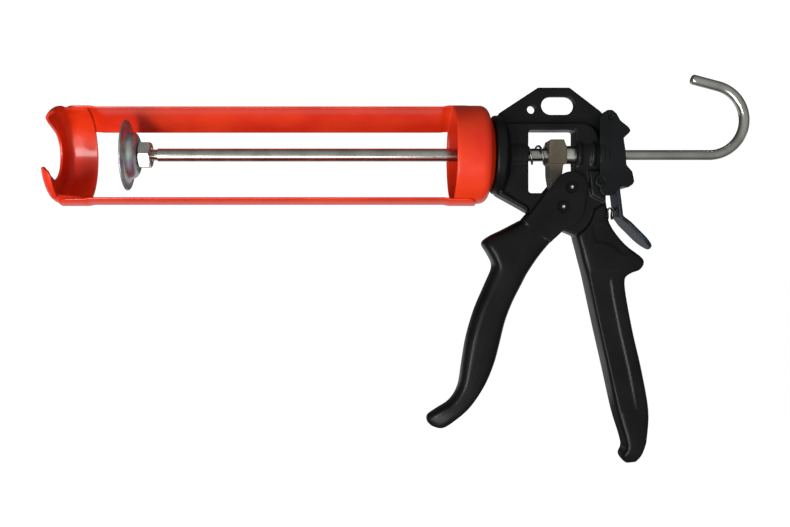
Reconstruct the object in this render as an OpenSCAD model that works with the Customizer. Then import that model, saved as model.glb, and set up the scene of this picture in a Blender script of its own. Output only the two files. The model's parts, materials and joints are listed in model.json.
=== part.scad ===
// Heavy-duty caulking gun for 310 ml cartridges.
// X runs along the barrel from the front cap to the hook, Y points away from the side shown
// in use, Z is up. The origin is on the barrel axis, in the rim plane of the front cap.

/* [Barrel] */
// Outer diameter of the cap and the collar
barrel_d = 52.4; // [52:0.1:54]
// Sheet thickness of the revolving frame
sheet = 1.4; // [1.2:0.1:1.5]
// Distance from the front cap's rim plane to the back of the rear collar
barrel_len = 231; // [225:1:240]
// Width of the nozzle slot
nozzle_w = 26.6; // [24:0.2:27]
// How far the frame is turned about the barrel axis, in degrees
frame_turn = -15; // [-60:1:60]
// Width of each strap, as an angle about the barrel axis
strap_angle = 50; // [40:1:56]
// Angle between the back of the barrel and each strap
strap_place = 75; // [70:1:80]

/* [Rod and plunger] */
// Diameter of the push rod
rod_d = 7; // [6.6:0.1:7]
// Diameter of the hook behind the gripped length
hook_d = 5.4; // [5:0.1:6]
// Centreline radius of the hook
hook_r = 18.8; // [17:0.1:20]
// Sweep of the hook, in degrees
hook_sweep = 165; // [150:1:170]
// Rim diameter of the plunger disc
plunger_d = 38.2; // [36:0.1:44]

/* [Trigger and handle] */
// Diameter of the pivot pin and the drive pin
pin_d = 5; // [4.6:0.1:5]
// Half thickness of the handle at the grip
grip_half = 9; // [8:0.5:9.5]
// Half thickness of the casting between the trigger's cheeks
core_half = 6; // [5.8:0.1:6]
// Thickness of each trigger cheek
cheek_t = 3; // [2.6:0.1:3.2]

/* [Release lever] */
// Width of the lever strip
lever_w = 14; // [12:0.5:15]
// Thickness of the lever strip
lever_t = 2; // [1.6:0.1:2]
// Lean of the lever when it locks the rod, in degrees
lever_lean = 7; // [6:0.5:7.5]

/* [Hidden] */

$fn = 96;
run = 0.05;        // running clearance on a radius
gap = 0.3;         // clearance between moving neighbours

barrel_r = barrel_d / 2;
cap_corner = 5.4;  // outside corners of the cap and of the collar
collar_corner = 5;
shoulder_x = 229;  // the collar's bottom has a raised centre of this radius
shoulder_r = 20;
cap_len = 13.4;
cap_front = -4.5;
collar_x = 210;
hub_r = 13;        // spigot on which the frame turns
neck_r = 21;

// Places in the side view, [x, z]
pivot_at = [267.8, -28.3];
drive_at = [272.3, -18];
guard_pin_at = [288, -14.5];
fulcrum_at = [292.9, 18.9];

cheek_y = core_half + 0.4;
boss_r = 8;        // round bosses on the rod's axis
bush_r = 5.5;
sleeve_r = 4.9;    // rear bush
rod_r = rod_d / 2;
step_x = 289;      // where the rod steps down to the hook's wire
bend_x = 348.4;

window = [250.2, -20.8, 275.2, 12.8];   // left, bottom, right, top of the mechanism window

// ---- shared shapes -----------------------------------------------------------------------

// Extrudes a side-view outline from y0 to y1
module side(y0, y1) translate([0, y1, 0]) rotate([90, 0, 0]) linear_extrude(y1 - y0) children();

// Turns a profile of [radius, x] points about the barrel axis
module turned(points) rotate([0, 90, 0]) rotate_extrude() polygon(points);

// A round bar along X
module bar(r, x0, x1) translate([x0, 0, 0]) rotate([0, 90, 0]) cylinder(r = r, h = x1 - x0);

// A round bar along Y at a place in the side view
module cross_bar(at, r, y0, y1)
    translate([at[0], y1, at[1]]) rotate([90, 0, 0]) cylinder(r = r, h = y1 - y0);

// Points along an arc in the plane of a profile
function arc(c, r, a0, a1, n) =
    [for (i = [0:n]) c + r * [cos(a0 + (a1 - a0) * i / n), sin(a0 + (a1 - a0) * i / n)]];

// A smooth curve through control values of any length
function blend(a, b, c, d, t) =
    0.5 * (2 * b + (c - a) * t + (2 * a - 5 * b + 4 * c - d) * t * t + (3 * b - a - 3 * c + d) * t * t * t);
function curve(p, n) = concat(
    [for (i = [0:len(p) - 2]) for (k = [0:n - 1])
        blend(p[max(i - 1, 0)], p[i], p[i + 1], p[min(i + 2, len(p) - 1)], k / n)],
    [p[len(p) - 1]]);

// A grip lofted through stations [front x, front z, back x, back z, half thickness]
function flat_power(v, p) = sign(v) * pow(abs(v), 2 / p);
function ring(s, sides, p) = [for (k = [0:sides - 1])
    let (u = flat_power(cos(360 * k / sides), p), v = flat_power(sin(360 * k / sides), p))
    [(s[0] + s[2]) / 2 + (s[2] - s[0]) / 2 * u, s[4] * v, (s[1] + s[3]) / 2 + (s[3] - s[1]) / 2 * u]];
module grip(stations, p, sides = 24, steps = 4) {
    path = curve(stations, steps);
    n = len(path);
    points = [for (s = path) each ring(s, sides, p)];
    walls = [for (i = [0:n - 2]) for (k = [0:sides - 1])
        let (a = i * sides + k, b = i * sides + (k + 1) % sides)
        each [[a, b, b + sides], [a, b + sides, a + sides]]];
    caps = [[for (k = [sides - 1:-1:0]) k], [for (k = [0:sides - 1]) (n - 1) * sides + k]];
    polyhedron(points, concat(walls, caps), convexity = 6);
}

// A compression spring along X
module spring(x0, x1, r, wire, turns, per_turn = 20, sides = 8) {
    n = turns * per_turn;
    points = [for (i = [0:n]) let (a = 360 * i / per_turn) for (k = [0:sides - 1])
        let (b = 360 * k / sides, rr = r + wire / 2 * cos(b))
        [x0 + (x1 - x0) * i / n + wire / 2 * sin(b), rr * cos(a), rr * sin(a)]];
    walls = [for (i = [0:n - 1]) for (k = [0:sides - 1])
        let (a = i * sides + k, b = i * sides + (k + 1) % sides)
        each [[a, b + sides, b], [a, a + sides, b + sides]]];
    caps = [[for (k = [0:sides - 1]) k], [for (k = [sides - 1:-1:0]) n * sides + k]];
    polyhedron(points, concat(walls, caps), convexity = 10);
}

// A pressed cup with a rounded corner: its open end at x0, its bottom at x1, then the points
// of the bottom from outside to inside
module cup(x0, x1, corner_r, bottom) {
    dir = x1 > x0 ? 1 : -1;
    corner = [barrel_r - corner_r, x1 - dir * corner_r];
    turned(concat(
        [[barrel_r, x0]],
        arc(corner, corner_r, 0, dir * 90, 6),
        bottom,
        arc(corner, corner_r - sheet, dir * 90, 0, 6),
        [[barrel_r - sheet, x0]]));
}

// ---- revolving frame ---------------------------------------------------------------------

module framed() rotate([frame_turn, 0, 0]) children();

wall_cut = -4;     // the cap's wall reaches this far past its middle
horn_cut = -20;    // the horns beside the nozzle slot reach this far

module front_cap() color("orangered") framed() difference() {
    cup(cap_len, cap_front, cap_corner, [[0, cap_front], [0, cap_front + sheet]]);
    // open side of the wall, and the ends of the horns
    translate([0.6, wall_cut - 60, -40]) cube([40, 60, 80]);
    translate([-10, horn_cut - 40, -40]) cube([20, 40, 80]);
    // slot for the nozzle, open on the loading side
    bar(nozzle_w / 2, cap_front - 1, 2);
    translate([cap_front - 1, -40, -nozzle_w / 2]) cube([7, 40, nozzle_w]);
}

// A strap is a curved strip that steps out over the cap and over the collar
module strap(place) {
    inner = barrel_r - 0.6;
    t = 1.2;
    lap_front = 1;
    lap_back = 222;
    framed() rotate([0, 90, 0]) rotate([0, 0, 90 + place - strap_angle / 2])
        rotate_extrude(angle = strap_angle) polygon([
            [barrel_r, lap_front], [barrel_r, cap_len + 0.8], [inner, cap_len + 4.5],
            [inner, collar_x - 4.5], [barrel_r, collar_x - 0.8], [barrel_r, lap_back],
            [barrel_r + t, lap_back], [barrel_r + t, collar_x - 1.6], [inner + t, collar_x - 5.3],
            [inner + t, cap_len + 5.3], [barrel_r + t, cap_len + 1.6], [barrel_r + t, lap_front]]);
}
module upper_strap() color("orangered") strap(strap_place);
module lower_strap() color("orangered") strap(-strap_place);

module rear_collar() color("orangered") framed() cup(collar_x, shoulder_x, collar_corner, concat(
    [[shoulder_r, shoulder_x]],
    arc([shoulder_r - 1.2, barrel_len - 1.2], 1.2, 0, 90, 3),
    [[hub_r + run, barrel_len], [hub_r + run, barrel_len - sheet],
     [shoulder_r - sheet, barrel_len - sheet], [shoulder_r - sheet, shoulder_x - sheet]]));

// ---- casting with the fixed handle -------------------------------------------------------

washer_x = barrel_len - sheet - gap;           // back face of the retaining washer
washer_t = 1.7;
ring_t = 1.2;
pocket_x = 243.6;                              // bottom of the driver spring's pocket
rear_face = 291;
plate_end = 290.2;                             // the hanging plate stops short of the lever

// Stations of the fixed handle, from the body down to the toe
handle = [
    [277, -34, 291.6, -26, 8], [275.4, -43, 293.4, -37, 8.4], [277.2, -51, 301.5, -48, 8.6],
    [278.6, -57, 311.4, -56, 8.6], [280, -62, 309.8, -61.4, 8.8], [280.8, -65, 304.2, -63.8, 8.9],
    [282.2, -71, 301.2, -69, grip_half],
    [287, -93, 305.2, -93, grip_half], [292, -115, 310, -114, grip_half], [296.8, -137, 313.9, -136, 8.6],
    [301.2, -151.5, 313.2, -151, 8], [302, -156.8, 312.2, -156.2, 7.4],
    [300.2, -161, 310.6, -160.8, 6.2], [302.8, -165, 308.4, -164.4, 3.2]];

step_y = grip_half - 0.8;   // the grip is this wide in front of the step

// The hanging plate on top, with its slot and its small hole
hang_at = [266.6, 26.3];
hang_w = 17.6;
hang_h = 9.6;
cord_hole_at = [252.4, 24.2];
cord_hole_d = 4.4;

module hanging_plate() side(-2, 2) difference() {
    polygon([[235, 22.2], [256, 36], [273, 36], [plate_end, 22.8], [plate_end, 2], [235, 2]]);
    translate(hang_at) {
        square([hang_w - hang_h, hang_h], center = true);
        for (s = [-1, 1]) translate([s * (hang_w - hang_h) / 2, 0]) circle(d = hang_h);
    }
    translate(cord_hole_at) circle(d = cord_hole_d);
}

// The box round the mechanism window, down to the pivot
module housing() side(-core_half, core_half) {
    polygon(concat(
        [[233.5, -21.6], [233.5, 16.5]],
        arc([278, 6.5], 10, 90, 0, 8),
        [[rear_face, 4], [rear_face, -26], [292.2, -32], [286, -43.5], [275.6, -43.5],
         [pivot_at[0], pivot_at[1] - 12], [251, -31.5], [246.8, -29]]));
    translate(pivot_at) circle(r = 12);
}

// A lip along the lower front edge of the housing
module lower_lip() side(-7.6, 7.6) polygon([[234, -21.4], [246.8, -28.6], [250, -30.6], [249, -28.2],
    [247, -27], [235, -19.6]]);

// Rings on the rear boss
module rear_boss() {
    bar(boss_r, window[2], rear_face);
    for (x = [276.4, 283.6]) bar(boss_r + 1, x, x + 1.6);
}

module body_casting() color([0.09, 0.09, 0.1]) difference() {
    union() {
        hanging_plate();
        housing();
        lower_lip();
        rear_boss();
        side(-7.4, 7.4) polygon([[282, -9], [rear_face, -9], [rear_face, -26], [283.5, -22]]);
        bar(boss_r, 236, window[0]);
        turned([[0, 231 + gap], [neck_r, 231 + gap], [neck_r, 236.4], [12, 240], [0, 240]]);
        bar(hub_r, 224.6, 232);
        grip(handle, p = 6);
        // spigot that holds the lever spring
        translate([291, 0, -31.5]) bar(1.6, 0, 3.2);
    }
    // mechanism window, with room for the roller on the drive pin
    side(-20, 20) {
        translate([window[0], window[1]]) square([window[2] - window[0], window[3] - window[1]]);
        translate([261, -23.2]) square([15, 12.6]);
        translate(drive_at) circle(r = 5.2);
    }
    // rod, its bushes and the driver spring
    bar(bush_r, 220, 236);
    bar(rod_r + 0.6, 230, 300);
    bar(sleeve_r, window[2] - 1, 288.6);
    bar(7, pocket_x, window[0] + 1);
    // groove for the retaining ring
    turned([[hub_r - 1, washer_x - washer_t - ring_t], [hub_r + 5, washer_x - washer_t - ring_t],
        [hub_r + 5, washer_x - washer_t], [hub_r - 1, washer_x - washer_t]]);
    // pins
    cross_bar(pivot_at, pin_d / 2, -20, 20);
    cross_bar(guard_pin_at, 1.5, -20, 20);
    // room for the cheeks beside the core
    for (s = [-1, 1]) cross_bar(pivot_at, 17, s > 0 ? core_half : -20, s > 0 ? 20 : -core_half);
    // the body is thinner than the grip above a curved shoulder
    for (y = [-20, 7.7]) side(y, y + 12.3) polygon([[283, -38], [284.3, -46.9], [292.4, -48.3],
        [295.1, -50], [297.8, -52.6], [300.5, -54], [304.5, -51.6], [308, -38]]);
    // a shallow step along each side of the grip
    web = curve([for (s = handle) if (s[1] < -60 && s[1] > -150) s], 3);
    for (y = [-20, step_y]) side(y, y + 20 - step_y) polygon(concat(
        [for (s = web) [s[0] - 1, s[1]]],
        [for (i = [len(web) - 1:-1:0]) let (s = web[i])
            [s[0] + 0.6 * (s[2] - s[0]), s[1] + 0.6 * (s[3] - s[1])]]));
}

// Sleeves that guide the rod: a flanged one in front, and a long plain one behind the driver
module front_bush() color("darkgoldenrod") difference() {
    union() {
        bar(bush_r, 223.4, 235.9);
        bar(bush_r + 1.5, 223.4, 224.6);
    }
    bar(rod_r + run, 220, 240);
}
module rear_bush() color("silver") difference() {
    bar(sleeve_r, 270.9, 288.5);
    bar(rod_r + run, 270, 290);
}

module retaining_washer() color("silver") difference() {
    bar(18, washer_x - washer_t, washer_x);
    bar(hub_r, 200, 240);
}

// A snap ring in the spigot's groove, open at the bottom
module retaining_ring() color("dimgray") difference() {
    bar(hub_r + 2, washer_x - washer_t - ring_t, washer_x - washer_t);
    bar(hub_r - 1, 200, 240);
    translate([200, -3, -20]) cube([40, 6, 20]);
}

// ---- pins --------------------------------------------------------------------------------

pin_end = cheek_y + cheek_t + 1.9;

// A headed pin through both cheeks, dimpled at its head and grooved for its clip at the far end
module headed_pin(at) difference() {
    union() {
        cross_bar(at, pin_d / 2, -cheek_y - cheek_t - 0.1, pin_end);
        cross_bar(at, pin_d / 2 + 0.4, -cheek_y - cheek_t - 0.9, -cheek_y - cheek_t - 0.1);
    }
    translate([at[0], -cheek_y - cheek_t - 0.9, at[1]]) sphere(r = 0.8);
    translate([at[0], cheek_y + cheek_t + gap, at[1]]) rotate([-90, 0, 0]) difference() {
        cylinder(r = pin_d, h = 0.8);
        translate([0, 0, -1]) cylinder(r = pin_d / 2 - 0.5, h = 3);
    }
}

// An open clip that snaps into a pin's groove
module open_clip(at) translate([at[0], cheek_y + cheek_t + gap, at[1]]) rotate([-90, 0, 0]) difference() {
    cylinder(r = pin_d / 2 + 1.6, h = 0.8);
    translate([0, 0, -1]) cylinder(r = pin_d / 2 - 0.5, h = 3);
    translate([-1.2, 0, -1]) cube([2.4, 10, 3]);
}

module pivot_pin() color("silver") headed_pin(pivot_at);
module pivot_clip() color("dimgray") open_clip(pivot_at);
module drive_pin() color("silver") headed_pin(drive_at);
module drive_clip() color("dimgray") open_clip(drive_at);

// ---- rod and plunger ---------------------------------------------------------------------

disc_x = 35;       // rim of the plunger disc
nut_x = 42.2;      // front face of the rear nut
nut_t = 6.5;
nut_af = 13;
disc_t = 1.2;

// A shallow pressed cup with a wide rim, open to the front
module plunger_disc() color("lightgray") turned(concat(
    [[plunger_d / 2, disc_x], [plunger_d / 2 - 0.2, disc_x + disc_t]],
    arc([13.6, disc_x + 3.2], 1.4, -100, -180, 4), [[12.1, disc_x + 4.2]],
    arc([9.2, nut_x - gap - 2], 2, 20, 90, 4),
    [[rod_r + run, nut_x - gap], [rod_r + run, nut_x - gap - disc_t]],
    arc([9.2, nut_x - gap - 2], 0.8, 90, 20, 4), [[10.9, disc_x + 4]],
    arc([13.6, disc_x + 3.2], 2.7, -180, -100, 4), [[plunger_d / 2 - 1, disc_x - 0.2]]));

module rod() color("silver") {
    bar(rod_r, 35.9, step_x);
    bar(hook_d / 2, step_x - 1, bend_x);
    translate([bend_x, 0, hook_r]) rotate([90, 0, 0]) rotate([0, 0, -90]) {
        rotate_extrude(angle = hook_sweep) translate([hook_r, 0]) circle(d = hook_d);
        // the straight end, with its edge taken off
        rotate([0, 0, hook_sweep]) translate([hook_r, 0, 0]) rotate([-90, 0, 0]) {
            translate([0, 0, -0.5]) cylinder(d = hook_d - 0.04, h = 14.7);
            translate([0, 0, 14.2]) cylinder(d1 = hook_d, d2 = hook_d - 1.4, h = 0.8);
        }
    }
}

// A hexagon nut on the rod's threaded end
module hex_nut(x0, t) color("silver") difference() {
    translate([x0, 0, 0]) rotate([0, 90, 0]) rotate([0, 0, 30])
        cylinder(d = nut_af / cos(30), h = t, $fn = 6);
    bar(rod_r, x0 - 1, x0 + t + 1);
}
module rear_nut() hex_nut(nut_x, nut_t);
module front_nut() hex_nut(nut_x - 2 * gap - disc_t - 1 - 3.4, 3.4);
module front_washer() color("silver") difference() {
    bar(6.4, nut_x - 2 * gap - disc_t - 1, nut_x - 2 * gap - disc_t);
    bar(rod_r, 30, 50);
}

// ---- trigger -----------------------------------------------------------------------------

// Stations of the trigger, from the neck down to the toe
pull = [
    [247, -34.8, 266, -43.4, 9.4], [237, -40, 261, -48.6, 9.4], [229, -44, 256, -54.8, 9.4],
    [225.9, -47.6, 252.4, -60, 9.4], [229, -53, 249.2, -65, 9.4], [231.6, -59.6, 246.6, -70, 9.4],
    [228, -69, 242.2, -78.6, 9.2], [222, -83, 238.2, -89, 9], [217.6, -98, 235.2, -101, 9],
    [215.2, -112, 232.2, -112, 8.8], [213.2, -124, 227.2, -123.6, 8.4], [208.6, -131.7, 219.6, -135, 7.8],
    [201, -136.6, 211, -142.8, 6.8], [196.6, -139.8, 204.6, -146.6, 5], [196.6, -143, 199, -145.4, 2.4]];

// One flat cheek, round at the drive pin and at the pivot
module cheek_outline() {
    translate(drive_at) circle(r = 8.5);
    translate(pivot_at) circle(r = 11.5);
    polygon([[264.6, -14.4], [280.4, -20.6], [278.6, -32], [268.8, -40], [261, -47.4], [247, -36],
        [251, -31.5], [258, -22]]);
}

module trigger() color([0.07, 0.07, 0.08]) difference() {
    union() {
        for (s = [-1, 1]) side(s > 0 ? cheek_y : -cheek_y - cheek_t, s > 0 ? cheek_y + cheek_t : -cheek_y)
            cheek_outline();
        grip(pull, p = 3.4);
    }
    // room for the casting between the cheeks, over the whole pull
    side(-cheek_y, cheek_y) {
        translate(pivot_at) circle(r = 12.5);
        polygon([[230, -19], [250.4, -31.9], [259.2, -37.2], [261.8, -39.4], [267.6, -46.8], [267.6, -60],
            [300, -60], [300, 20], [230, 20]]);
    }
    cross_bar(pivot_at, pin_d / 2 + run, -20, 20);
    cross_bar(drive_at, pin_d / 2, -20, 20);
}

module drive_roller() color("silver") difference() {
    cross_bar(drive_at, pin_d / 2 + 1.1, -cheek_y + gap, cheek_y - gap);
    cross_bar(drive_at, pin_d / 2, -20, 20);
}

// ---- driver ------------------------------------------------------------------------------

driver_x = 261;
// The block that grips the rod, wide above and narrow between the cheeks
module driver_block() color([0.36, 0.3, 0.22]) difference() {
    union() {
        side(-7, 7) polygon([[driver_x, -5.2], [driver_x, 4.6], [driver_x + 0.6, 7.6],
            [driver_x + 7.8, 7.6], [driver_x + 9.4, 3.4], [driver_x + 9.5, -5.2]]);
        side(-5.8, 5.8) polygon([[driver_x + 0.3, -5], [driver_x + 0.5, -12], [driver_x + 1.8, -19.4],
            [driver_x + 7.2, -19.4], [driver_x + 7.2, -10], [driver_x + 7.8, -5]]);
    }
    bar(rod_r + run, 250, 280);
}

module driver_spring() color("silver") spring(pocket_x + 0.7, driver_x - 0.7, 4.8, 1.2, 3.25);

// ---- release lever -----------------------------------------------------------------------

lever_bend = 52.6; // from the fulcrum to the bend
eye_r = 2.2;       // eye round the fulcrum pin
fulcrum_r = 1.1;
tab_len = 24;
tab_w = 19;
tab_angle = 38;    // how far the tab bends back

module lean() translate([fulcrum_at[0], 0, fulcrum_at[1]]) rotate([0, -lever_lean, 0]) children();

module release_lever() color([0.2, 0.24, 0.28]) lean() difference() {
    h = lever_t / 2;
    miter = h * tan(tab_angle / 2);
    down = [sin(tab_angle), -cos(tab_angle)];
    union() {
        // the strip down to its bend and a little past it
        side(-lever_w / 2, lever_w / 2) polygon([
            [h, 0], [h, miter - lever_bend], [h, miter - lever_bend] + 3 * down,
            [-h, -miter - lever_bend] + 3 * down, [-h, -miter - lever_bend], [-h, 0]]);
        rotate([90, 0, 0]) cylinder(r = eye_r, h = lever_w, center = true);
        // the bent tab with its round end
        translate([0, 0, -lever_bend]) rotate([0, 90 - tab_angle, 0]) translate([0, 0, -h])
            linear_extrude(lever_t) polygon(concat([[1, -lever_w / 2], [5, -tab_w / 2]],
                arc([tab_len - tab_w / 2, 0], tab_w / 2, -90, 90, 16), [[5, tab_w / 2], [1, lever_w / 2]]));
    }
    rotate([90, 0, 0]) cylinder(r = fulcrum_r + run, h = 40, center = true);
    // hole that grips the rod when the lever leans
    translate([-5, 0, -fulcrum_at[1] / cos(lever_lean)]) rotate([0, 90, 0]) cylinder(r = rod_r + 0.6, h = 10);
}

module lever_spring() color("silver") translate([0, 0, -31.5]) spring(292.8, 297, 3, 0.9, 2.5);

// Lobed cover over the upper end of the lever, with cheeks beside the casting
guard_half = 9.3;
guard_front = 287.2;
module lever_guard() color([0.1, 0.1, 0.11]) difference() {
    union() {
        side(-guard_half, guard_half) polygon([[guard_front, 19.4], [289.1, 20.9], [291.2, 22.9],
            [293.8, 22.9], [296.1, 20.9], [298.1, 17.3], [302.4, 13.8], [303.5, 12], [302.7, 10.7],
            [299.8, 8], [300.7, 1.8], [301.3, -6.2], [304.4, -9.8], [305.4, -14.8], [304.7, -16.4],
            [302.4, -18], [298.8, -17.6], [293.1, -22.4], [289, -22.4], [guard_front, -20]]);
        cross_bar(guard_pin_at, 3.4, -guard_half, guard_half);
        // round bosses on the rod's axis
        bar(10.4, guard_front, 289.6);
        bar(9.9, guard_front, 292.2);
    }
    // room for the casting and the lever, open to the front and below
    side(-7.7, 7.7) polygon([[280, -30], [280, 30], [rear_face + 0.1, 30], [rear_face + 0.1, 21.7],
        [294, 21.7], [295.8, 19.9], [295.6, 16], [299.2, -18.6], [299.2, -30]]);
    bar(boss_r + gap, 280, rear_face + gap);
    bar(rod_r + 0.9, 280, 320);
    cross_bar(fulcrum_at, fulcrum_r, -20, 20);
    cross_bar(guard_pin_at, 1.5, -20, 20);
}

module fulcrum_pin() color("silver") cross_bar(fulcrum_at, fulcrum_r, -guard_half, guard_half);
module guard_pin() color("silver") cross_bar(guard_pin_at, 1.5, -guard_half, guard_half);

front_cap();
upper_strap();
lower_strap();
rear_collar();
body_casting();
front_bush();
rear_bush();
retaining_washer();
retaining_ring();
pivot_pin();
pivot_clip();
lever_guard();
guard_pin();
fulcrum_pin();
plunger_disc();
rod();
rear_nut();
front_nut();
front_washer();
trigger();
drive_pin();
drive_clip();
drive_roller();
driver_block();
driver_spring();
release_lever();
lever_spring();
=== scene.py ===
# %% [markdown]
# # A caulking gun
#
# The gun has a sheet steel frame that holds the cartridge, a black die casting with the fixed handle,
# a trigger, and a plated rod that is pushed forward by a small block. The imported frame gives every
# part's place. This script gives each part its final surface and its finish.

# %% Load the frame
import json
import math

import bpy
import bmesh
import numpy as np
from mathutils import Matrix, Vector

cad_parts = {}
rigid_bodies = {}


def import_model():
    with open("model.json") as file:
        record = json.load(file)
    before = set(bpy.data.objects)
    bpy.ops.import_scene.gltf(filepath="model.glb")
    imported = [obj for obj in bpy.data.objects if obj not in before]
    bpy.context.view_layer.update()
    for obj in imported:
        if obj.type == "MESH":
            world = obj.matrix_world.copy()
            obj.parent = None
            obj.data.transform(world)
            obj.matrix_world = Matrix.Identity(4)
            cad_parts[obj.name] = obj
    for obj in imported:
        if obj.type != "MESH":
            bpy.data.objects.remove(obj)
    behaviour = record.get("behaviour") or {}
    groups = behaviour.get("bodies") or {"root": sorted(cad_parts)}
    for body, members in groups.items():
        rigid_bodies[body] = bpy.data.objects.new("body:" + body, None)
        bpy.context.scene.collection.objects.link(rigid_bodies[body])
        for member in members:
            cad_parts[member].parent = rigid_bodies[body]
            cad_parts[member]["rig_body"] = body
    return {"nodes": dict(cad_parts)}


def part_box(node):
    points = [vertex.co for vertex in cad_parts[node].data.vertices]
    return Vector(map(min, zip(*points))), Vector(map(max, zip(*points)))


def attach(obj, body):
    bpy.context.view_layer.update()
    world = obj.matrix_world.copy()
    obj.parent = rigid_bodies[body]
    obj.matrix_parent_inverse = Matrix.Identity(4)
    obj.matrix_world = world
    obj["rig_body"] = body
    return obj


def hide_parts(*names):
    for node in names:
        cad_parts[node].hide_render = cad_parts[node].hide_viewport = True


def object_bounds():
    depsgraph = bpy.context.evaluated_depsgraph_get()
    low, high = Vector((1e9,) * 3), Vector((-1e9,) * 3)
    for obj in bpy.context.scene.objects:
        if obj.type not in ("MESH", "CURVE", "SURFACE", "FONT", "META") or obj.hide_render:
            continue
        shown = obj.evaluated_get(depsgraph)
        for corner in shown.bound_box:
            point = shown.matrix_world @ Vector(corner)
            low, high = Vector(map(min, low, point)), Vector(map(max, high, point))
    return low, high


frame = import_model()
cad_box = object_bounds()
MM = 0.001
print("CAD nodes:", len(frame["nodes"]))


def box_mm(node):
    """Lowest and highest corner of a CAD node, in millimetres."""
    low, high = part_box(node)
    return np.array(low) / MM, np.array(high) / MM


# %% [markdown]
# ## Colours and nodes
#
# Colours are written as they look on a screen, as sRGB hex values. Shaders work with linear light, so
# one function turns a hex value to linear numbers. A second small function adds any shader node, sets
# its options and inputs, and links what is passed as a socket.


# %% Colour and node helpers
def linear(hex_value):
    """sRGB hex to linear: v / 12.92 below 0.04045, and ((v + 0.055) / 1.055) ** 2.4 above."""
    values = [int(hex_value[i:i + 2], 16) / 255 for i in (1, 3, 5)]
    light = [v / 12.92 if v <= 0.04045 else ((v + 0.055) / 1.055) ** 2.4 for v in values]
    return light + [1.0]


def add_node(tree, kind, inputs=None, **options):
    """A shader node with its options, and its inputs as numbers, colours or sockets to link."""
    node = tree.nodes.new(kind)
    for key, value in options.items():
        setattr(node, key, value)
    for key, value in (inputs or {}).items():
        if isinstance(value, bpy.types.NodeSocket):
            tree.links.new(value, node.inputs[key])
        else:
            node.inputs[key].default_value = value
    return node


# %% [markdown]
# ## One recipe for all finishes
#
# Nearly every finish here is a base colour that drifts between two tones, a roughness that varies a
# little, and one or two bumps. Noise drives all three. A grain is a noise with a real size in millimetres, so
# the recipe takes a few named grains and says which of them drives the tone, the roughness and the
# bumps. Numbers that are the same all over a surface go straight onto the shader.

# %% Finish recipe
EVEN = (1, 1, 1)
GRAIN_LOW, GRAIN_HIGH = 0.3, 0.7      # most of a noise's values lie between these
TONE_AT = (0.35, 0.65)                # the two tones blend between these


def make_material(name, grains, rough, tones=None, bumps=(), **fixed):
    """Grains are (size in mm, detail, stretch along X, Y, Z). Tones and rough are (grain, low, high),
    and each bump is (grain, height in mm). The rest are the shader's own numbers, by name."""
    material = bpy.data.materials.new(name)
    material.use_nodes = True
    tree = material.node_tree
    tree.nodes.clear()
    place = add_node(tree, "ShaderNodeTexCoord").outputs["Object"]
    inputs = {key.replace("_", " "): value for key, value in fixed.items()}
    noise = {}
    for key, (size_mm, detail, stretch) in grains.items():
        scaled = add_node(tree, "ShaderNodeVectorMath", {0: place, 1: [1 / s for s in stretch]},
                          operation="MULTIPLY")
        noise[key] = add_node(tree, "ShaderNodeTexNoise", {
            "Vector": scaled.outputs[0], "Scale": 1 / (size_mm * MM), "Detail": detail}).outputs["Fac"]
    grain, low, high = rough
    inputs["Roughness"] = add_node(tree, "ShaderNodeMapRange", {
        "Value": noise[grain], "From Min": GRAIN_LOW, "From Max": GRAIN_HIGH,
        "To Min": low, "To Max": high}).outputs["Result"]
    if tones:
        grain, low, high = tones
        blend = add_node(tree, "ShaderNodeValToRGB", {"Fac": noise[grain]})
        for element, tone, position in zip(blend.color_ramp.elements, (low, high), TONE_AT):
            element.color = linear(tone)
            element.position = position
        inputs["Base Color"] = blend.outputs["Color"]
    for grain, height_mm in bumps:
        below = {"Normal": inputs["Normal"]} if "Normal" in inputs else {}
        inputs["Normal"] = add_node(tree, "ShaderNodeBump", {
            "Height": noise[grain], "Distance": height_mm * MM, "Strength": 1.0, **below}).outputs["Normal"]
    shader = add_node(tree, "ShaderNodeBsdfPrincipled", inputs)
    add_node(tree, "ShaderNodeOutputMaterial", {"Surface": shader.outputs[0]})
    return material


# %% [markdown]
# ## Powder coat
#
# The frame is mild steel with a baked orange-red polyester powder coat. Powder flows as it melts and
# leaves a soft ripple about two millimetres across, called orange peel, under a fairly glossy skin.

# %% Powder coat
powder_coat = make_material(
    "powder_coat_orange_red",
    grains={"peel": (2.2, 1.5, EVEN), "speck": (0.5, 2.0, EVEN), "drift": (24, 2.0, EVEN)},
    tones=("drift", "#DB2A0C", "#E83A14"), rough=("drift", 0.3, 0.38),
    bumps=[("peel", 0.035), ("speck", 0.004)],
    IOR=1.5, Specular_IOR_Level=0.3, Coat_Weight=0.2, Coat_Roughness=0.14)
print("finish:", powder_coat.name)


# %% [markdown]
# ## Black die casting
#
# The body, the handle and the trigger are aluminium die castings with a thin satin black coat. The
# coat follows the fine grain of the casting and its slow unevenness, and hands polish it slightly in
# patches.

# %% Black coats
POLISH_RANGE = 0.06


def black_coat(name, low, high, rough):
    """Cast grain 0.6 mm across, lumps 5 mm across, and polished patches 14 mm across."""
    return make_material(
        name, grains={"skin": (0.6, 3.0, EVEN), "lumps": (5, 1.0, EVEN), "patches": (14, 3.0, EVEN)},
        tones=("patches", low, high), rough=("patches", rough - POLISH_RANGE, rough + POLISH_RANGE),
        bumps=[("skin", 0.02), ("lumps", 0.05)],
        IOR=1.45, Specular_IOR_Level=0.12, Coat_Weight=0.16, Coat_Roughness=0.24)


# %% [markdown]
# ## Plated and bare steels
#
# The rod, the nuts and the disc are bright zinc plate over drawn or pressed steel. Drawing leaves fine
# lines along the rod. The disc's passivated plate has a faint violet and green cast. The lever is
# blue-grey hardened strip with marks across its bend, the springs are bare wire, the clips are oiled
# spring steel, and the front bush is sintered bronze.

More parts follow.
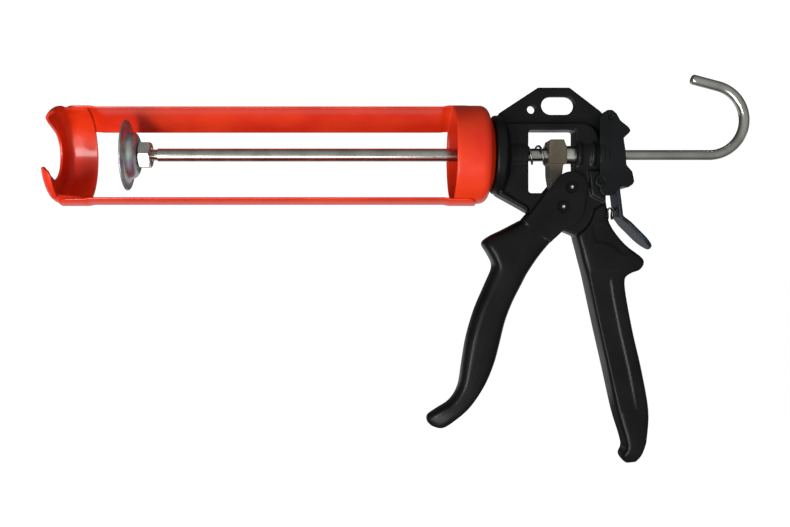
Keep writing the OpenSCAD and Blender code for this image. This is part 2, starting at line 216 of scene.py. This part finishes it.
# %% Metals
MARK_MM = 0.35        # real tool marks are finer than 0.1 mm, and are drawn this coarse to show
DRAWN = (60, 1, 1)    # lines along the rod
ROLLED = (1, 1, 20)   # lines down the lever


def metal(name, low, high, rough, drift_mm, stretch=EVEN, depth_mm=0.004, metallic=1.0):
    """A metal with a tone that drifts over drift_mm, and fine marks drawn out along an axis."""
    return make_material(
        name, grains={"drift": (drift_mm, 3.0, EVEN), "marks": (MARK_MM, 3.0, stretch)},
        tones=("drift", low, high), rough=("marks", rough - 0.05, rough + 0.07),
        bumps=[("marks", depth_mm)], Metallic=metallic)


# %% [markdown]
# ## The block and the pin heads
#
# The gripping block has a brown phosphate coat, and painted shade darkens it below the rod. The two pins in
# the trigger are blackened, with a small painted highlight in the middle of each head.
# Both start from the same recipe, and then a few nodes change the colour by place.

# %% Block and pin heads
# Painted shade: the block's colour is drawn darker below the rod, between these two heights.
SHADE_TOP = -3          # heights from the rod's axis, in millimetres
SHADE_BOTTOM = -10
# Painted highlight: the middle of each pin head is coloured bright, as a glint.
HIGHLIGHT_R = 0.6        # bright this far from the pin's axis, and dark from the next value outwards
HIGHLIGHT_EDGE = 1.0


def block_with_painted_shade():
    """The brown tones above the upper height, painted shade from the lower height down, and a linear mix
    between.
    """
    material = make_material(
        "brown_phosphate_painted_shade", grains={"patches": (9, 3.0, EVEN), "marks": (MARK_MM, 3.0, EVEN)},
        tones=("patches", "#564E40", "#665D4E"), rough=("marks", 0.45, 0.57),
        bumps=[("marks", 0.01)], Metallic=0.35)
    tree = material.node_tree
    colour = tree.nodes["Principled BSDF"].inputs["Base Color"]
    place = add_node(tree, "ShaderNodeTexCoord").outputs["Object"]
    height = add_node(tree, "ShaderNodeSeparateXYZ", {"Vector": place}).outputs["Z"]
    unshaded = add_node(tree, "ShaderNodeMapRange",
                     {"Value": height, "From Min": SHADE_BOTTOM * MM, "From Max": SHADE_TOP * MM})
    # Painted shade: a dark brown is mixed into the colour towards the bottom of the block.
    mixed = add_node(tree, "ShaderNodeMix", {
        "Factor": unshaded.outputs["Result"], "A": linear("#38332A"),
        "B": colour.links[0].from_socket}, data_type="RGBA")
    tree.links.new(mixed.outputs["Result"], colour)
    return material


def pin_head_with_painted_highlight(node):
    """A painted highlight, bright within the inner radius of the pin's axis, and dark from the outer radius
    outwards.
    """
    material = make_material("blackened_" + node, grains={"marks": (0.8, 3.0, EVEN)},
                             rough=("marks", 0.28, 0.4), Metallic=0.9)
    low, high = box_mm(node)
    tree = material.node_tree
    place = add_node(tree, "ShaderNodeTexCoord").outputs["Object"]
    across = add_node(tree, "ShaderNodeVectorMath", {0: place, 1: (1, 0, 1)}, operation="MULTIPLY")
    away = add_node(tree, "ShaderNodeVectorMath", {
        0: across.outputs[0], 1: (low + high) / 2 * MM * (1, 0, 1)}, operation="DISTANCE")
    # Painted highlight: the colour turns from dark to bright near the pin's axis.
    painted_highlight = add_node(tree, "ShaderNodeMapRange", {
        "Value": away.outputs["Value"], "From Min": HIGHLIGHT_R * MM, "From Max": HIGHLIGHT_EDGE * MM,
        "To Min": 1.0, "To Max": 0.0})
    blend = add_node(tree, "ShaderNodeValToRGB", {"Fac": painted_highlight.outputs["Result"]})
    for element, tone in zip(blend.color_ramp.elements, ("#1D1D1E", "#C8C8C6")):
        element.color = linear(tone)
    tree.links.new(blend.outputs["Color"], tree.nodes["Principled BSDF"].inputs["Base Color"])
    return material


# %% All finishes
FINISH = {
    "red": powder_coat,
    "black": black_coat("satin_black_die_casting", "#0C0C0C", "#131212", 0.4),
    "guard": black_coat("satin_black_guard_casting", "#0E1011", "#151718", 0.44),
    "pin": metal("blackened_steel_pin", "#1A1A1B", "#2B2B2C", 0.3, 2, metallic=0.9),
    "pivot_pin": pin_head_with_painted_highlight("pivot_pin"),
    "drive_pin": pin_head_with_painted_highlight("drive_pin"),
    "rod": metal("zinc_plate_drawn", "#A9A8A2", "#C2C1BA", 0.17, 9, stretch=DRAWN),
    "zinc": metal("zinc_plate_bright", "#C2C2BC", "#DADAD4", 0.28, 5),
    "disc": metal("zinc_plate_passivated", "#A096AB", "#C4D6CA", 0.3, 7, metallic=0.8),
    "spring": metal("spring_wire", "#6F7375", "#989C9E", 0.28, 2),
    "clip": metal("oiled_spring_steel", "#232426", "#35373A", 0.34, 3),
    "lever": metal("blued_steel_strip", "#1E262D", "#28323B", 0.46, 6, stretch=ROLLED, metallic=0.6),
    "brown": block_with_painted_shade(),
    "bronze": metal("sintered_bronze", "#7A5B30", "#A1804C", 0.42, 1.2, depth_mm=0.01),
}
print("finishes:", ", ".join(FINISH))

# %% [markdown]
# ## Surfaces from arrays
#
# Most parts here are surfaces of two parameters: a grid of points worked out at once with numpy, and
# the faces that join each point to its neighbours. A profile turned about the barrel, a ring carried
# along a path and a helical spring are all such grids.


# %% Mesh helpers
def grid_faces(rows, columns, close_rows, close_columns):
    """Quads that join point (i, j) to its neighbours (i + 1, j) and (i, j + 1), wrapping where closed."""
    i = np.arange(rows if close_rows else rows - 1)[:, None]
    j = np.arange(columns if close_columns else columns - 1)[None, :]
    i2, j2 = (i + 1) % rows, (j + 1) % columns
    cells = np.stack([i * columns + j, i2 * columns + j, i2 * columns + j2, i * columns + j2], axis=-1)
    return cells.reshape(-1, 4).tolist()


def outward(mesh, weld_mm=0.0005):
    """Merges doubled points, then turns every face outwards."""
    work = bmesh.new()
    work.from_mesh(mesh)
    bmesh.ops.remove_doubles(work, verts=work.verts, dist=weld_mm * MM)
    bmesh.ops.recalc_face_normals(work, faces=work.faces)
    work.to_mesh(mesh)
    work.free()


def surface(name, points_mm, close_rows=False, close_columns=True):
    """An object from a grid of points in millimetres. A tube's open ends get one face each."""
    rows, columns, _ = points_mm.shape
    faces = grid_faces(rows, columns, close_rows, close_columns)
    if close_columns and not close_rows:
        faces += [list(range(columns)), [(rows - 1) * columns + k for k in range(columns)]]
    mesh = bpy.data.meshes.new(name)
    mesh.from_pydata((points_mm.reshape(-1, 3) * MM).tolist(), [], faces)
    outward(mesh)
    obj = bpy.data.objects.new(name, mesh)
    bpy.context.scene.collection.objects.link(obj)
    return obj


def apply_modifiers(obj):
    """Replaces the object's mesh with the result of its modifiers."""
    bpy.context.view_layer.update()
    done = bpy.data.meshes.new_from_object(obj.evaluated_get(bpy.context.evaluated_depsgraph_get()))
    obj.modifiers.clear()
    obj.data = done
    return obj


def smooth(obj, angle=38):
    """Smooth shading, with edges sharper than the angle in degrees kept crisp."""
    obj.data.shade_smooth()
    obj.data.set_sharp_from_angle(angle=math.radians(angle))
    return obj


def place_piece(obj, node, finish):
    """The piece stands for a CAD node: it rides on that node's body and has its slot."""
    cad = frame["nodes"][node]
    obj.data.materials.clear()
    obj.data.materials.append(FINISH[finish])
    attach(obj, cad["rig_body"])
    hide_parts(node)
    print(f"{obj.name}: {len(obj.data.polygons)} faces")


# %% [markdown]
# ## Curves and profiles
#
# A few small functions give the lines that the surfaces start from: a smooth curve through points, a
# gentle step, a middle line that gets the thickness of sheet, and a profile turned about the barrel.


# %% Curve helpers
def smooth_curve(points, steps):
    """Catmull-Rom curve: the stretch from b to c blends a, b, c and d with cubic weights in t."""
    p = np.asarray(points, float)
    padded = np.vstack([p[0], p, p[-1]])
    t = np.linspace(0, 1, steps, endpoint=False)[:, None]
    a, b, c, d = [padded[k:len(padded) - 3 + k, None] for k in range(4)]
    curve = 0.5 * (2 * b + (c - a) * t + (2 * a - 5 * b + 4 * c - d) * t ** 2
                   + (3 * b - a - 3 * c + d) * t ** 3)
    return np.vstack([curve.reshape(-1, 2), p[-1:]])


def ease(t):
    """0 below 0, 1 above 1, and 3t^2 - 2t^3 between."""
    t = np.clip(t, 0, 1)
    return t * t * (3 - 2 * t)


def turned_about_x(profile, sides=160):
    """A closed profile of (radius, x) turned about the barrel axis: (x, r cos a, r sin a)."""
    angle = np.linspace(0, 2 * math.pi, sides, endpoint=False)[:, None]
    radius, x = np.asarray(profile).T
    return np.stack([x + 0 * angle, radius * np.cos(angle), radius * np.sin(angle)], axis=-1)


def sheet_profile(middle, thickness, lip=5):
    """A closed outline round a middle line: offset half the thickness each way, with round lips."""
    middle = np.asarray(middle, float)
    along = np.gradient(middle, axis=0)
    along /= np.linalg.norm(along, axis=1)[:, None]
    across = np.stack([-along[:, 1], along[:, 0]], axis=1)
    half = thickness / 2
    turn = np.linspace(0, math.pi, lip + 2)[1:-1, None]
    end = middle[-1] + half * (np.cos(turn) * across[-1] + np.sin(turn) * along[-1])
    start = middle[0] - half * (np.cos(turn) * across[0] + np.sin(turn) * along[0])
    return np.vstack([middle + half * across, end, (middle - half * across)[::-1], start])


# %% [markdown]
# ## The revolving frame
#
# The frame is two pressings joined by two straps. It is turned 15 degrees about the barrel from
# straight back, so its open side faces forward and a little up. The rear collar is a pressed ring with
# a rounded back corner and a raised centre: a sheet profile turned about the barrel.

# %% Barrel sizes
FRAME_TURN = math.radians(-15)
SHEET = 1.4
collar_low, collar_high = box_mm("rear_collar")
cap_low, cap_high = box_mm("front_cap")
BARREL_R = (collar_high[2] - collar_low[2]) / 2
MID_R = BARREL_R - SHEET / 2
print("barrel radius", round(BARREL_R, 2))


def framed(points):
    """Turns points about the barrel axis to the frame's rest position."""
    c, s = math.cos(FRAME_TURN), math.sin(FRAME_TURN)
    x, y, z = points[..., 0], points[..., 1], points[..., 2]
    return np.stack([x, y * c - z * s, y * s + z * c], axis=-1)


# %% Rear collar
HUB_R = 13.2
COLLAR_CORNER = 5
SHOULDER = 2          # how far the centre stands behind the plate's edge
STEP_START = 0.3      # from the corner's end to the step, along the radius
STEP_RUN = 3.3        # the step itself, along the radius
collar_flat = BARREL_R - COLLAR_CORNER
corner_x = collar_high[0] - SHOULDER - COLLAR_CORNER
back_x = collar_high[0] - SHEET / 2
bend_r = COLLAR_CORNER - SHEET / 2
bend = np.linspace(0, math.pi / 2, 14)
inward = np.linspace(0, STEP_RUN, 18)
step_x = back_x - SHOULDER * (1 - ease(inward / STEP_RUN))
wall_x = np.linspace(collar_low[0] + SHEET / 2, corner_x - 0.6, 12)
collar_line = np.vstack([
    np.stack([np.full(len(wall_x), MID_R), wall_x], axis=1),
    np.stack([collar_flat + bend_r * np.cos(bend), corner_x + bend_r * np.sin(bend)], axis=1),
    np.stack([collar_flat - STEP_START - inward, step_x], axis=1),
    [[HUB_R + SHEET / 2, back_x]]])
collar = surface("rear_collar_pressing", turned_about_x(sheet_profile(collar_line, SHEET)), close_rows=True)
place_piece(smooth(collar), "rear_collar", "red")

# %% [markdown]
# ## Front cap
#
# The cap is a cup with its front half cut away, and a slot for the nozzle that leaves two horns. On
# its middle surface a point has an angle from the back of the barrel and a distance along the
# meridian, from the axis out over the plate, round the corner and back along the wall. For each angle
# the metal runs from the slot's edge to the rim, so both edges are functions of the angle.

# %% Front cap
CAP_CORNER = 5.4
CAP_FLAT = BARREL_R - CAP_CORNER
CAP_BEND = CAP_CORNER - SHEET / 2
PLATE_X = cap_low[0] + SHEET / 2
RIM_X = cap_high[0] - 0.1 * SHEET
SLOT_R = 13.3
HORN_CUT = 21.5       # a straight cut this far in front of the axis ends both horns
HORN_END = 144        # this angle and the next three are in degrees from the back of the barrel
HORN_ROUND = 130
WALL_END = 96
WALL_FADE = 7
CAP_EDGE = 0.45       # rounding of the cut edges


def cap_surface(columns=361, rows=56):
    """Middle surface: r = m on the plate, r = r0 + R sin b round the corner, r = r0 + R on the wall."""
    angle = np.radians(np.linspace(-HORN_END, HORN_END, columns))
    away = np.abs(angle)
    inner = np.where(away < math.pi / 2, SLOT_R, SLOT_R / np.maximum(np.sin(away), 0.05))
    corner_end = CAP_FLAT + CAP_BEND * math.pi / 2
    wall = corner_end + RIM_X - CAP_BEND - PLATE_X
    horn = np.minimum(corner_end + 0.3, HORN_CUT / np.maximum(np.abs(np.cos(away)), 0.01))
    outer = horn + (wall - horn) * (1 - ease((np.degrees(away) - WALL_END) / WALL_FADE))
    tip = np.clip((np.degrees(away) - HORN_ROUND) / (HORN_END - HORN_ROUND), 0, 0.999)
    middle, half = (inner + outer) / 2, (outer - inner) / 2 * np.sqrt(1 - tip ** 2)
    m = middle + half * np.linspace(-1, 1, rows)[:, None]
    b = np.clip((m - CAP_FLAT) / CAP_BEND, 0, math.pi / 2)
    radius = np.where(m < CAP_FLAT, m, CAP_FLAT + CAP_BEND * np.sin(b))
    x = PLATE_X + CAP_BEND * (1 - np.cos(b)) + np.maximum(m - corner_end, 0)
    return np.stack([x, radius * np.cos(angle), radius * np.sin(angle)], axis=-1)


cap = surface("front_cap_pressing", framed(cap_surface()), close_columns=False)
thicken = cap.modifiers.new("sheet", "SOLIDIFY")
thicken.thickness = SHEET * MM
thicken.offset = 0
round_off = cap.modifiers.new("edges", "BEVEL")
round_off.width = CAP_EDGE * MM
round_off.segments = 3
round_off.limit_method = "ANGLE"
round_off.angle_limit = math.radians(50)
apply_modifiers(cap)
place_piece(smooth(cap), "front_cap", "red")

# %% [markdown]
# ## Straps
#
# Each strap is a curved strip with rounded edges. It steps out by its own thickness to lie over the
# cap and the collar, where it is welded, and its ends have rounded corners.

# %% Straps
STRAP_T = 1.2
STRAP_CORNER = 5
STRAP_WIDTH = math.radians(50)
STRAP_PLACE = math.radians(75)    # from the back of the frame to the middle of a strap
LAP = 24                          # the ends, whose stations lie closer together
JOGGLE = 4.4                      # length of the step at each lap
CAP_GAP = 0.6                     # from the cap's rim to its step
COLLAR_GAP = 0.8                  # from the collar's rim to its step


def strap_surface(place):
    """Ring: a stadium bent round the barrel. Path: along X, its radius eased outwards at both laps."""
    low, high = box_mm("upper_strap")
    x0, x1 = low[0] + 0.1, high[0] - 0.1
    x = np.concatenate([np.linspace(x0, low[0] + LAP, 90),
                        np.linspace(low[0] + LAP + 1, high[0] - LAP - 1, 40),
                        np.linspace(high[0] - LAP, x1, 90)])
    over_cap = 1 - ease((x - cap_high[0] - CAP_GAP) / JOGGLE)
    over_collar = ease((x - collar_low[0] + COLLAR_GAP) / JOGGLE + 1)
    radius = BARREL_R + STRAP_T / 2 * (over_cap + over_collar)
    from_end = np.minimum(x - low[0], high[0] - x)
    inset = STRAP_CORNER * (1 - np.sqrt(1 - np.clip(1 - from_end / STRAP_CORNER, 0, 1) ** 2))
    half_width = STRAP_WIDTH / 2 * BARREL_R - STRAP_T / 2 - inset
    flat = np.linspace(-1, 1, 26)
    lip = np.linspace(0, math.pi, 8)[1:-1]
    one, nil = np.ones(len(flat)), np.zeros(len(flat))
    across = np.concatenate([flat, np.ones(len(lip)), -flat, -np.ones(len(lip))])
    edge = np.concatenate([nil, np.sin(lip), nil, -np.sin(lip)])
    depth = np.concatenate([one, np.cos(lip), -one, -np.cos(lip)])
    arc = (half_width[:, None] * across + STRAP_T / 2 * edge) / BARREL_R + place
    ring_r = radius[:, None] + STRAP_T / 2 * depth
    return np.stack([x[:, None] + 0 * arc, ring_r * np.cos(arc), ring_r * np.sin(arc)], axis=-1)


for strap_name, place in (("upper_strap", STRAP_PLACE), ("lower_strap", -STRAP_PLACE)):
    strap = surface(strap_name + "_strip", framed(strap_surface(place)))
    place_piece(smooth(strap), strap_name, "red")

# %% [markdown]
# ## Plunger disc
#
# The disc is pressed from sheet: a nearly flat rim, then a cup whose bottom the rod goes through. Its
# middle line is a smooth curve that is given thickness and turned about the rod.

# %% Plunger disc
DISC_SHEET = 1.1
disc_low, disc_high = box_mm("plunger_disc")
rim_x = disc_low[0] + 0.75
cup_x = disc_high[0] - 0.6
disc_line = smooth_curve([[18.45, rim_x], [16.4, rim_x + 0.2], [14.2, rim_x + 0.75], [12.6, rim_x + 2.1],
                          [11.8, rim_x + 3.9], [10.9, cup_x - 0.8], [9.2, cup_x - 0.05], [6.5, cup_x],
                          [4.15, cup_x]], steps=6)
disc = surface("plunger_disc_pressing", turned_about_x(sheet_profile(disc_line, DISC_SHEET)), close_rows=True)
place_piece(smooth(disc), "plunger_disc", "disc")

# %% [markdown]
# ## Rod
#
# The rod is a ring carried along a line and then round the hook. Behind the casting it steps down to
# the hook's thinner wire. Its radius follows a triangle wave along the thread, shifted by the angle,
# and that makes the thread a true helix.


# %% Ring along a path
def bar_along(path, radius):
    """Rings about a path in the X-Z plane: point + radius * (cos t * normal + sin t * Y)."""
    along = np.gradient(path, axis=0)
    along /= np.linalg.norm(along, axis=1)[:, None]
    normal = np.stack([-along[:, 1], along[:, 0]], axis=1)
    t = np.linspace(0, 2 * math.pi, radius.shape[1], endpoint=False)
    x = path[:, :1] + radius * np.cos(t) * normal[:, :1]
    z = path[:, 1:] + radius * np.cos(t) * normal[:, 1:]
    return np.stack([x, radius * np.sin(t), z], axis=-1)


# %% Rod's straight length
ROD_R = 3.5
ROD_SIDES = 40
WIRE_R = 2.7
HOOK_R = 18.8
STEP_X = 289
THREAD_END = 52
THREAD_PITCH = 1.0
THREAD_R = 3.15
THREAD_DEPTH = 0.45
rod_low, rod_high = box_mm("rod")
bend_x = rod_high[0] - HOOK_R - WIRE_R
thread_x = np.arange(rod_low[0] + 0.6, THREAD_END, THREAD_PITCH / 8)
turn = np.linspace(0, 1, ROD_SIDES, endpoint=False)
wave = np.abs(((thread_x[:, None] / THREAD_PITCH - turn) % 1) * 2 - 1)
thread_r = THREAD_R - THREAD_DEPTH * wave
shank_x = np.concatenate([np.linspace(THREAD_END + 0.2, STEP_X, 40),
                          np.linspace(STEP_X + 1.2, bend_x - 0.5, 12)])
shank_r = np.where(shank_x <= STEP_X, ROD_R, WIRE_R)
on_axis = np.concatenate([[rod_low[0]], thread_x, shank_x])
print("rod from", round(rod_low[0], 1), "to its bend at", round(bend_x, 1))

# %% Rod's hook
HOOK_SWEEP = math.radians(165)
HOOK_END = 15         # straight length after the bend
hook_t = np.linspace(0, HOOK_SWEEP, 64)
hook = np.stack([bend_x + HOOK_R * np.sin(hook_t), HOOK_R - HOOK_R * np.cos(hook_t)], axis=1)
run = np.array([math.cos(HOOK_SWEEP), math.sin(HOOK_SWEEP)])
tail_s = np.concatenate([np.linspace(1, HOOK_END - 0.9, 8), [HOOK_END - 0.4, HOOK_END]])
tail = hook[-1] + tail_s[:, None] * run
tail_r = np.concatenate([np.full(8, WIRE_R), [WIRE_R - 0.25, WIRE_R - 0.75]])
path = np.vstack([np.stack([on_axis, 0 * on_axis], axis=1), hook, tail])
plain_r = np.concatenate([shank_r, np.full(len(hook), WIRE_R), tail_r])
radius = np.vstack([np.full((1, ROD_SIDES), THREAD_R - 0.6), thread_r,
                    np.repeat(plain_r[:, None], ROD_SIDES, axis=1)])
rod = surface("push_rod", bar_along(path, radius))
place_piece(smooth(rod, 30), "rod", "rod")

# %% [markdown]
# ## Nuts
#
# A hexagon nut is a six-sided bar whose corners are cut by a cone at each face. Its radius at an angle
# is the smaller of the hexagon's and the cone's, which gives the curved edges of a real nut.

# %% Nuts
ACROSS_FLATS = 13
CONE_START = 0.955                  # the cone's width at the face, as a part of the width across flats
CONE_SLOPE = math.radians(30)       # from the face
BORE_CHAMFER = (0.5, 0.45)          # along the radius and along the axis


def nut_surface(node, sides=120):
    """Rows go from the bore over one face, along the flats and over the other face, and close."""
    low, high = box_mm(node)
    thick = high[0] - low[0]
    depth = np.concatenate([np.linspace(0.02, 1.0, 9), np.linspace(1.2, thick - 1.2, 5),
                            np.linspace(thick - 1.0, thick - 0.02, 9)])
    t = np.linspace(0, 2 * math.pi, sides, endpoint=False)
    hexagon = ACROSS_FLATS / 2 / np.cos((t + math.pi / 6) % (math.pi / 3) - math.pi / 6)
    nearest = np.minimum(depth, thick - depth)[:, None]
    cone = ACROSS_FLATS / 2 * CONE_START + nearest / math.tan(CONE_SLOPE)
    bore_rows = np.array([ROD_R + BORE_CHAMFER[0], ROD_R])[:, None] + 0 * t
    radius = np.vstack([bore_rows[::-1], np.minimum(hexagon, cone), bore_rows])
    x = low[0] + np.concatenate([[BORE_CHAMFER[1], 0.0], depth, [thick, thick - BORE_CHAMFER[1]]])
    return np.stack([x[:, None] + 0 * t, radius * np.sin(t), radius * np.cos(t)], axis=-1)


for nut_name in ("rear_nut", "front_nut"):
    nut = surface(nut_name + "_hexagon", nut_surface(nut_name), close_rows=True)
    place_piece(smooth(nut, 24), nut_name, "zinc")

# %% [markdown]
# ## Springs
#
# A compression spring is a round wire carried along a helix. Its first and last turns lie close
# together so that it sits flat: the pitch is eased in at both ends.

# %% Springs
SPRINGS = {"driver_spring": (4.8, 1.2, 3.25), "lever_spring": (3.0, 0.9, 2.5)}   # radius, wire, turns
CLOSE_PITCH = 0.08    # share of the whole rise that is spread evenly, closed ends included


def coil_surface(x0, x1, centre_z, radius, wire, turns, sides=14, per_turn=44):
    """Path: (x, R cos t, R sin t). Rings: wire / 2 * (cos b * outward + sin b * binormal)."""
    t = np.linspace(0, 2 * math.pi * turns, int(turns * per_turn))
    u = t / t[-1]
    dead = min(0.8 / turns, 0.3)
    rise = np.clip((u - dead / 2) / (1 - dead), 0, 1)
    x = x0 + (x1 - x0) * (CLOSE_PITCH * u + (1 - CLOSE_PITCH) * rise)
    path = np.stack([x, radius * np.cos(t), centre_z + radius * np.sin(t)], axis=1)
    along = np.gradient(path, axis=0)
    along /= np.linalg.norm(along, axis=1)[:, None]
    out = np.stack([0 * t, np.cos(t), np.sin(t)], axis=1)
    binormal = np.cross(along, out)
    b = np.linspace(0, 2 * math.pi, sides, endpoint=False)[None, :, None]
    return path[:, None] + wire / 2 * (np.cos(b) * out[:, None] + np.sin(b) * binormal[:, None])


for spring_name, (coil_r, wire, turns) in SPRINGS.items():
    low, high = box_mm(spring_name)
    centre_z = (low[2] + high[2]) / 2
    points = coil_surface(low[0] + wire / 2, high[0] - wire / 2, centre_z, coil_r, wire, turns)
    coil = surface(spring_name + "_coil", points)
    place_piece(smooth(coil), spring_name, "spring")

# %% [markdown]
# ## Castings, the block and the lever
#
# The body, the trigger and the rear cover are castings, with small radii on every edge where the metal
# filled the die. A merged copy of the CAD solid is turned into an even skin of small cells and then
# relaxed, which rounds all edges by a similar amount, as casting does. The gripping block and the
# release lever are punched or pressed steel with broken edges, so they are made in the same way, with
# smaller cells for smaller radii.

# %% Castings, block and lever
SKINS = {             # cell size in mm, relaxing steps, finish
    "body_casting": (0.62, 3, "black"),
    "trigger": (0.55, 4, "black"),
    "lever_guard": (0.36, 3, "guard"),
    "driver_block": (0.34, 3, "brown"),
    "release_lever": (0.34, 2, "lever"),
}


def cast_copy(node, cell_mm, relax):
    """A welded copy of a CAD node, remeshed with even cells and relaxed so that its edges round."""
    copy = frame["nodes"][node].copy()
    copy.data = frame["nodes"][node].data.copy()
    copy.name = node + "_casting" if not node.endswith("casting") else node + "_skin"
    copy.parent = None
    for key in list(copy.keys()):
        del copy[key]
    bpy.context.scene.collection.objects.link(copy)
    outward(copy.data, weld_mm=0.002)
    skin = copy.modifiers.new("skin", "REMESH")
    skin.mode = "VOXEL"
    skin.voxel_size = cell_mm * MM
    skin.adaptivity = 0
    soften = copy.modifiers.new("soften", "SMOOTH")
    soften.factor = 0.5
    soften.iterations = relax
    return apply_modifiers(copy)


for node, (cell_mm, relax, finish) in SKINS.items():
    casting = cast_copy(node, cell_mm, relax)
    casting.data.shade_smooth()
    place_piece(casting, node, finish)

# %% [markdown]
# ## Parts that keep their CAD shape
#
# Pins, clips, bushes, washers and the roller are turned or bent parts whose true shape the CAD already
# has, so they only need a finish.

# %% CAD parts
KEPT = {
    "front_bush": "bronze", "rear_bush": "zinc", "retaining_washer": "zinc", "retaining_ring": "clip",
    "pivot_pin": "pivot_pin", "pivot_clip": "clip", "guard_pin": "pin", "fulcrum_pin": "pin",
    "front_washer": "zinc", "drive_pin": "drive_pin", "drive_clip": "clip", "drive_roller": "zinc",
}
for node, finish in KEPT.items():
    kept = frame["nodes"][node]
    kept.data.materials.clear()
    kept.data.materials.append(FINISH[finish])
print("CAD parts kept:", len(KEPT))

# %% [markdown]
# ## Studio
#
# Black castings show little colour of their own. What is seen of them is mostly what they reflect, so
# the surroundings matter as much as the lamps. The camera sees plain white everywhere, but the light
# that reaches the gun is bright in front, a little below the barrel, and dim behind and above. The
# pale floor lies at the gun's lowest point. It starts behind the gun, so a softbox can light the
# castings from in front and below. A narrow strip on the left draws a thin highlight along the round
# parts. A fill behind the gun, left out of reflections, keeps the back from going black in the views
# from there.

# %% Floor
FLOOR_SIZE = 6
FLOOR_START = 0.14
FLOOR_GAP = 0.0005
FLOOR_LIGHT = 0.62
floor_place = (0.15, FLOOR_START + FLOOR_SIZE / 2, cad_box[0][2] - FLOOR_GAP)
bpy.ops.mesh.primitive_plane_add(size=FLOOR_SIZE, location=floor_place)
floor = bpy.context.object
floor.name = "floor"
floor_material = bpy.data.materials.new("pale_floor")
floor_material.use_nodes = True
floor_tree = floor_material.node_tree
floor_tree.nodes.clear()
floor_seen = add_node(floor_tree, "ShaderNodeLightPath").outputs["Is Camera Ray"]
floor_strength = add_node(floor_tree, "ShaderNodeMapRange",
                          {"Value": floor_seen, "To Min": FLOOR_LIGHT, "To Max": 1.0}).outputs["Result"]
glow = add_node(floor_tree, "ShaderNodeEmission", {"Color": (1, 1, 1, 1), "Strength": floor_strength})
add_node(floor_tree, "ShaderNodeOutputMaterial", {"Surface": glow.outputs[0]})
floor.data.materials.append(floor_material)
print("floor at height", round(floor_place[2], 4))

# %% World
BRIGHT_SIDE = (0, -0.99, -0.14)
DIM_FROM = -0.3       # cosine of the angle to the bright side at which the light is dimmest
DIM_LIGHT = 0.08
FRONT_LIGHT = 0.5
SEEN_WHITE = 1.05
world = bpy.data.worlds.new("white_studio")
bpy.context.scene.world = world
world.use_nodes = True
sky = world.node_tree
sky.nodes.clear()
seen = add_node(sky, "ShaderNodeLightPath").outputs["Is Camera Ray"]
direction = add_node(sky, "ShaderNodeTexCoord").outputs["Generated"]
toward = add_node(sky, "ShaderNodeVectorMath", {0: direction, 1: BRIGHT_SIDE}, operation="DOT_PRODUCT")
around = add_node(sky, "ShaderNodeMapRange", {
    "Value": toward.outputs["Value"], "From Min": DIM_FROM, "To Min": DIM_LIGHT, "To Max": FRONT_LIGHT})
strength = add_node(sky, "ShaderNodeMapRange",
                    {"Value": seen, "To Min": around.outputs["Result"], "To Max": SEEN_WHITE})
white = add_node(sky, "ShaderNodeBackground",
                 {"Color": (1, 1, 1, 1), "Strength": strength.outputs["Result"]})
add_node(sky, "ShaderNodeOutputWorld", {"Surface": white.outputs[0]})
print("light from", DIM_LIGHT, "behind to", FRONT_LIGHT, "in front")


# %% Lights
def softbox(name, place, aim, width, height, power):
    """A rectangular area light at a place, turned to face an aim point."""
    data = bpy.data.lights.new(name, "AREA")
    data.shape = "RECTANGLE"
    data.size = width
    data.size_y = height
    data.energy = power
    light = bpy.data.objects.new(name, data)
    light.location = place
    light.rotation_euler = (Vector(aim) - Vector(place)).to_track_quat("-Z", "Y").to_euler()
    bpy.context.scene.collection.objects.link(light)
    return light


middle = (0.17, 0.0, -0.03)
softbox("low_front", (-0.1, -0.61, -0.54), middle, width=0.7, height=0.35, power=4.2)
softbox("left_strip", (-0.2, -0.75, -0.22), middle, width=0.06, height=0.35, power=3.0)
rear_fill = softbox("rear_fill", (0.2, 1.0, 0.3), middle, width=1.0, height=0.8, power=7)
rear_fill.visible_glossy = False

# %% [markdown]
# ## Camera
#
# The camera looks straight along Y at the side of the gun from half a metre. It stands level with the
# trigger's upper part. The lens is shifted sideways, which frames the whole gun and keeps the view
# square to it.

# %% Camera
SENSOR_MM = 36
LENS_MM = 42.3797
SHIFT = 0.067089
CAMERA_PLACE = (0.151, -0.5, -0.0583)
camera_data = bpy.data.cameras.new("camera")
camera_data.sensor_width = SENSOR_MM
camera_data.lens = LENS_MM
camera_data.shift_x = SHIFT
camera = bpy.data.objects.new("camera", camera_data)
camera.location = CAMERA_PLACE
camera.rotation_euler = (math.pi / 2, 0, 0)
bpy.context.scene.collection.objects.link(camera)
bpy.context.scene.camera = camera
bpy.context.scene.view_settings.view_transform = "Standard"
print("camera at", CAMERA_PLACE, "with a", round(LENS_MM, 1), "mm lens")
